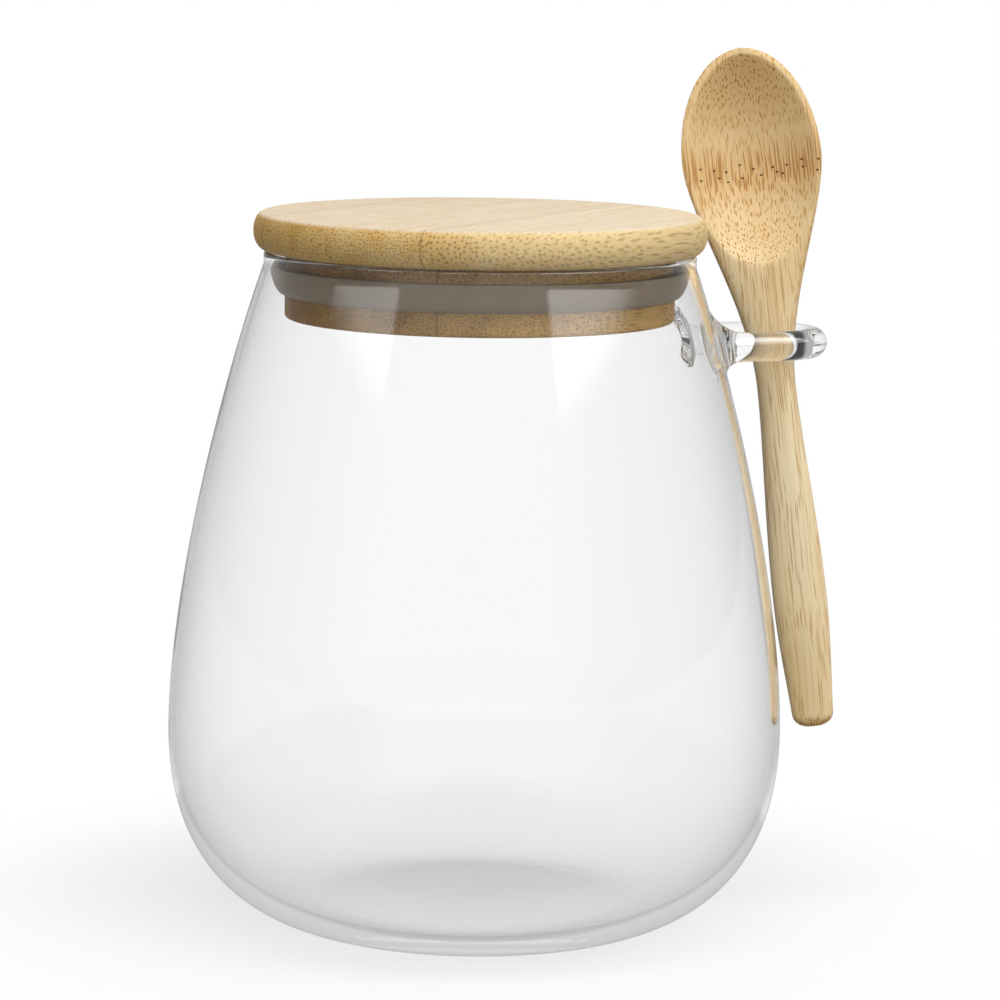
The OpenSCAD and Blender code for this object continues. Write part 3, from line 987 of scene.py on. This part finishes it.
# Greys of a painted shadow of the jar, as the glass sees the floor, from the jar outwards
PAINTED_SHADOW_UNDER_GLASS = ((0, 0.78), (0.1, 0.84), (0.2, 0.88), (0.43, 0.96), (1, 1))

floor_finish = bpy.data.materials.new("white_sweep")
tree = empty_tree(floor_finish)
path = add(tree, "ShaderNodeLightPath")
to_camera = path.outputs["Is Camera Ray"]
spot = add(tree, "ShaderNodeTexCoord")
distance = add(tree, "ShaderNodeVectorMath", {0: spot.outputs["Object"]}, operation="LENGTH")

# How far the floor shines by itself, for the camera and for the glass
far = add(
    tree, "ShaderNodeMapRange",
    {"Value": distance.outputs["Value"], "From Min": SHADOW_NEAR, "From Max": SHADOW_FAR,
     "To Min": NEAR_WHITE},
    interpolation_type="SMOOTHSTEP",
)
by_wood = add(
    tree, "ShaderNodeMath", {0: path.outputs["Diffuse Depth"], 1: 0.5}, operation="GREATER_THAN",
)
by_camera = add(tree, "ShaderNodeMath", {0: far.outputs[0], 1: to_camera}, operation="MULTIPLY")
by_other = add(tree, "ShaderNodeMath", {0: by_wood.outputs[0], 1: to_camera}, operation="ADD")
by_glass = add(tree, "ShaderNodeMath", {0: 1.0, 1: by_other.outputs[0]}, operation="SUBTRACT")
white_share = add(
    tree, "ShaderNodeMath", {0: by_glass.outputs[0], 1: by_camera.outputs[0]}, operation="ADD",
)

# What the glass sees of it: a painted shadow of the jar when looking through, the dim room when mirrored
through = add(tree, "ShaderNodeMapRange", {"Value": distance.outputs["Value"], "From Max": CLEAR_OUT})
painted_shadow_in_glass = add(tree, "ShaderNodeValToRGB", {"Fac": through.outputs[0]})
stops = painted_shadow_in_glass.color_ramp.elements
while len(stops) < len(PAINTED_SHADOW_UNDER_GLASS):
    stops.new(0.5)
for stop, (place, grey) in zip(stops, PAINTED_SHADOW_UNDER_GLASS):
    stop.position, stop.color = place, (grey, grey, grey, 1)
mirrored = add(
    tree, "ShaderNodeMath", {0: path.outputs["Glossy Depth"], 1: 1.5, 2: 0.6}, operation="COMPARE",
)
by_glass_tone = add(
    tree, "ShaderNodeMix",
    {0: mirrored.outputs[0], 6: painted_shadow_in_glass.outputs["Color"], 7: [ROOM_LEVEL] * 3 + [1]}, data_type="RGBA",
)
glow = add(
    tree, "ShaderNodeMix", {0: to_camera, 6: by_glass_tone.outputs[2], 7: colour("#ffffff")},
    data_type="RGBA",
)

# What is lit by the lamps: white for the camera, and a grey card for the wood
bounce = add(
    tree, "ShaderNodeMix", {0: to_camera, 6: colour("#a4a4a4"), 7: colour("#ffffff")}, data_type="RGBA",
)
matt = add(tree, "ShaderNodeBsdfDiffuse", {"Color": bounce.outputs[2]})
white = add(tree, "ShaderNodeEmission", {"Color": glow.outputs[2], "Strength": 1.0})
surface = add(
    tree, "ShaderNodeMixShader", {0: white_share.outputs[0], 1: matt.outputs[0], 2: white.outputs[0]},
)
add(tree, "ShaderNodeOutputMaterial", {"Surface": surface.outputs[0]})
floor.data.materials.append(floor_finish)
print(floor_finish.name, len(tree.nodes), "nodes")

# %% [markdown]
# ## Light
# Three softboxes light the wood: a weak one on the left, a larger one on the right and a wide one that
# hangs overhead, in front of the jar. The glass doesn't see the lamps themselves, because small bright
# lamps in clear glass leave specks of noise. Their images are painted into the room instead, further
# down.

# %% Hang the softboxes
JAR_TARGET, NECK_TARGET = Vector((0, 0, 0.1)), Vector((0, 0, 0.13))


def softbox(name, place, target, size, radiance):
    """An area lamp whose face shines at a plain radiance, where 1 is white."""
    lamp = bpy.data.lights.new(name, "AREA")
    lamp.shape, lamp.size, lamp.size_y = "RECTANGLE", *size
    lamp.energy = 4 * size[0] * size[1] * radiance
    box = bpy.data.objects.new(name, lamp)
    aim = (target - Vector(place)).to_track_quat("-Z", "Y")
    box.matrix_world = Matrix.Translation(place) @ aim.to_matrix().to_4x4()
    box.visible_camera = box.visible_glossy = box.visible_transmission = False
    bpy.context.collection.objects.link(box)
    print(name, round(lamp.energy, 2), "W")


softbox("softbox_left", (-0.861, -0.401, 0.68), NECK_TARGET, (0.7, 0.7), 0.2)
softbox("softbox_right", (0.864, -0.394, 0.68), NECK_TARGET, (1.0, 0.8), 0.7)
softbox("softbox_above", (0.1, -0.42, 1.2), JAR_TARGET, (1.2, 0.32), 5.9)

# %% [markdown]
# ## The room
# What stands around a glass jar makes its looks. A photograph of a studio could be used as the world, but
# a few nodes are enough, and they can tell the rays apart. Light Path counts how often a ray was
# mirrored: not at all, and it looks straight through at the white backdrop; once or twice, and it sees
# the room; more often, and it was led along inside the wall. A ray that left the wood has a Diffuse
# Depth.

# %% Tell the rays apart
room = bpy.data.worlds.new("studio_room")
bpy.context.scene.world = room
tree = empty_tree(room)
path = add(tree, "ShaderNodeLightPath")
mirrors = path.outputs["Glossy Depth"]
inside_glass = path.outputs["Is Transmission Ray"]
straight = add(tree, "ShaderNodeMath", {0: mirrors, 1: 0.5}, operation="LESS_THAN")
mirrored = add(tree, "ShaderNodeMath", {0: mirrors, 1: 1.5, 2: 0.6}, operation="COMPARE")
led = add(tree, "ShaderNodeMath", {0: mirrors, 1: 2.5}, operation="GREATER_THAN")
outside = add(tree, "ShaderNodeMath", {0: mirrored.outputs[0], 1: inside_glass}, operation="GREATER_THAN")
by_wood = add(
    tree, "ShaderNodeMath", {0: path.outputs["Diffuse Depth"], 1: 0.5}, operation="GREATER_THAN",
)
spot = add(tree, "ShaderNodeTexCoord")
axes = add(tree, "ShaderNodeSeparateXYZ", {0: spot.outputs["Generated"]})
to_front = add(tree, "ShaderNodeMath", {0: axes.outputs["Y"], 1: -1.0}, operation="MULTIPLY")
print("Room named", room.name)

# %% [markdown]
# The glass mirrors a dim room. Its sides are darker, which draws the grey lines along the jar's outline,
# and its front is brighter. A dark flag on the right shows only in light that comes out through the wall.
# Light that was led along the wall has seen many places, so it has one even, brighter level.

# %% The dim room in the glass
LED_GAIN, FLAG_SHADE = 0.25, -0.88

room_level = add(
    tree, "ShaderNodeMath", {0: led.outputs[0], 1: LED_GAIN, 2: ROOM_LEVEL}, operation="MULTIPLY_ADD",
)
sideways = add(tree, "ShaderNodeMath", {0: axes.outputs["X"]}, operation="ABSOLUTE")
side = add(
    tree, "ShaderNodeMapRange",
    {"Value": sideways.outputs[0], "From Min": 0.65, "From Max": 0.95, "To Min": 1.0, "To Max": 0.45},
    interpolation_type="SMOOTHSTEP",
)
front = add(
    tree, "ShaderNodeMapRange",
    {"Value": to_front.outputs[0], "From Min": 0.1, "From Max": 0.7, "To Min": 1.0, "To Max": 1.6},
    interpolation_type="SMOOTHSTEP",
)
flag_tone = add(
    tree, "ShaderNodeMath", {0: inside_glass, 1: FLAG_SHADE, 2: 1.0}, operation="MULTIPLY_ADD",
)
flag = add(
    tree, "ShaderNodeMapRange",
    {"Value": axes.outputs["X"], "From Min": 0.5, "From Max": 0.75, "To Min": 1.0,
     "To Max": flag_tone.outputs[0]},
)
walls = add(tree, "ShaderNodeMath", {0: side.outputs[0], 1: front.outputs[0]}, operation="MULTIPLY")
around = add(tree, "ShaderNodeMath", {0: walls.outputs[0], 1: flag.outputs[0]}, operation="MULTIPLY")
shade = add(tree, "ShaderNodeMath", {0: around.outputs[0], 1: led.outputs[0]}, operation="MAXIMUM")
dim = add(tree, "ShaderNodeMath", {0: room_level.outputs[0], 1: shade.outputs[0]}, operation="MULTIPLY")
plain = add(tree, "ShaderNodeMath", {0: straight.outputs[0], 1: dim.outputs[0]}, operation="MAXIMUM")
print("Room at", ROOM_LEVEL, "and led light at", round(ROOM_LEVEL + LED_GAIN, 2))

# %% [markdown]
# The two softboxes beside the camera show as pale panes on the neck, and the one overhead as a thin
# bright line along the rim and the rod. Each is painted as a range of directions with soft edges, and
# only the outer face of the glass mirrors them, which keeps the picture free of noise.

# %% The softboxes' image in the glass
PANES = ((-65, 20.5, 3.4), (65.5, 28.5, 4.8))
PANE_EDGE_OUT, PANE_EDGE_IN = 1, 2.5
OVERHEAD_Z, OVERHEAD_LEVEL = 0.77, 8.0

round_angle = add(
    tree, "ShaderNodeMath", {0: axes.outputs["X"], 1: to_front.outputs[0]}, operation="ARCTAN2",
)
panes = []
for middle, half, brightness in PANES:
    off_middle = add(
        tree, "ShaderNodeMath", {0: round_angle.outputs[0], 1: math.radians(middle)},
        operation="SUBTRACT",
    )
    off_axis = add(tree, "ShaderNodeMath", {0: off_middle.outputs[0]}, operation="ABSOLUTE")
    panes.append(add(
        tree, "ShaderNodeMapRange",
        {"Value": off_axis.outputs[0], "From Min": math.radians(half + PANE_EDGE_OUT),
         "From Max": math.radians(half - PANE_EDGE_IN), "To Max": brightness},
        interpolation_type="SMOOTHSTEP",
    ))
both = add(tree, "ShaderNodeMath", {0: panes[0].outputs[0], 1: panes[1].outputs[0]}, operation="ADD")
height = add(
    tree, "ShaderNodeMapRange", {"Value": axes.outputs["Z"], "From Min": 0.33, "From Max": 0.42},
    interpolation_type="SMOOTHSTEP",
)
shown = add(tree, "ShaderNodeMath", {0: height.outputs[0], 1: outside.outputs[0]}, operation="MULTIPLY")
beside = add(
    tree, "ShaderNodeMath", {0: both.outputs[0], 1: shown.outputs[0], 2: plain.outputs[0]},
    operation="MULTIPLY_ADD",
)

off_overhead = add(tree, "ShaderNodeMath", {0: axes.outputs["Z"], 1: OVERHEAD_Z}, operation="SUBTRACT")
from_overhead = add(tree, "ShaderNodeMath", {0: off_overhead.outputs[0]}, operation="ABSOLUTE")
overhead = add(
    tree, "ShaderNodeMapRange",
    {"Value": from_overhead.outputs[0], "From Min": 0.16, "From Max": 0.1, "To Max": OVERHEAD_LEVEL},
)
in_front = add(
    tree, "ShaderNodeMapRange", {"Value": to_front.outputs[0], "From Min": 0.05, "From Max": 0.2},
)
above = add(tree, "ShaderNodeMath", {0: overhead.outputs[0], 1: in_front.outputs[0]}, operation="MULTIPLY")
in_glass = add(
    tree, "ShaderNodeMath", {0: above.outputs[0], 1: outside.outputs[0], 2: beside.outputs[0]},
    operation="MULTIPLY_ADD",
)
print("Painted", len(panes), "panes and a strip")

# %% [markdown]
# The wood doesn't need any of that. It gets a soft fill from the front, a little from the right, and some
# light from the backdrop behind, so that no side of it goes black.

# %% Light for the wood
FILL_FROM, FILL_LOW, FILL_HIGH, BACKDROP_LEVEL = (0.25, -0.97, 0.0), 0.08, 0.94, 0.5

fill_side = add(
    tree, "ShaderNodeVectorMath", {0: spot.outputs["Generated"], 1: FILL_FROM}, operation="DOT_PRODUCT",
)
fill = add(
    tree, "ShaderNodeMapRange",
    {"Value": fill_side.outputs["Value"], "To Min": FILL_LOW, "To Max": FILL_HIGH},
)
backdrop = add(
    tree, "ShaderNodeMapRange",
    {"Value": fill_side.outputs["Value"], "From Min": -0.2, "From Max": -1.0, "To Max": BACKDROP_LEVEL},
)
all_round = add(tree, "ShaderNodeMath", {0: fill.outputs[0], 1: backdrop.outputs[0]}, operation="ADD")
seen = add(
    tree, "ShaderNodeMix", {0: by_wood.outputs[0], 2: in_glass.outputs[0], 3: all_round.outputs[0]},
)
light = add(tree, "ShaderNodeBackground", {"Color": seen.outputs[0], "Strength": 1.0})
add(tree, "ShaderNodeOutputWorld", {"Surface": light.outputs[0]})
print("Room with", len(tree.nodes), "nodes")
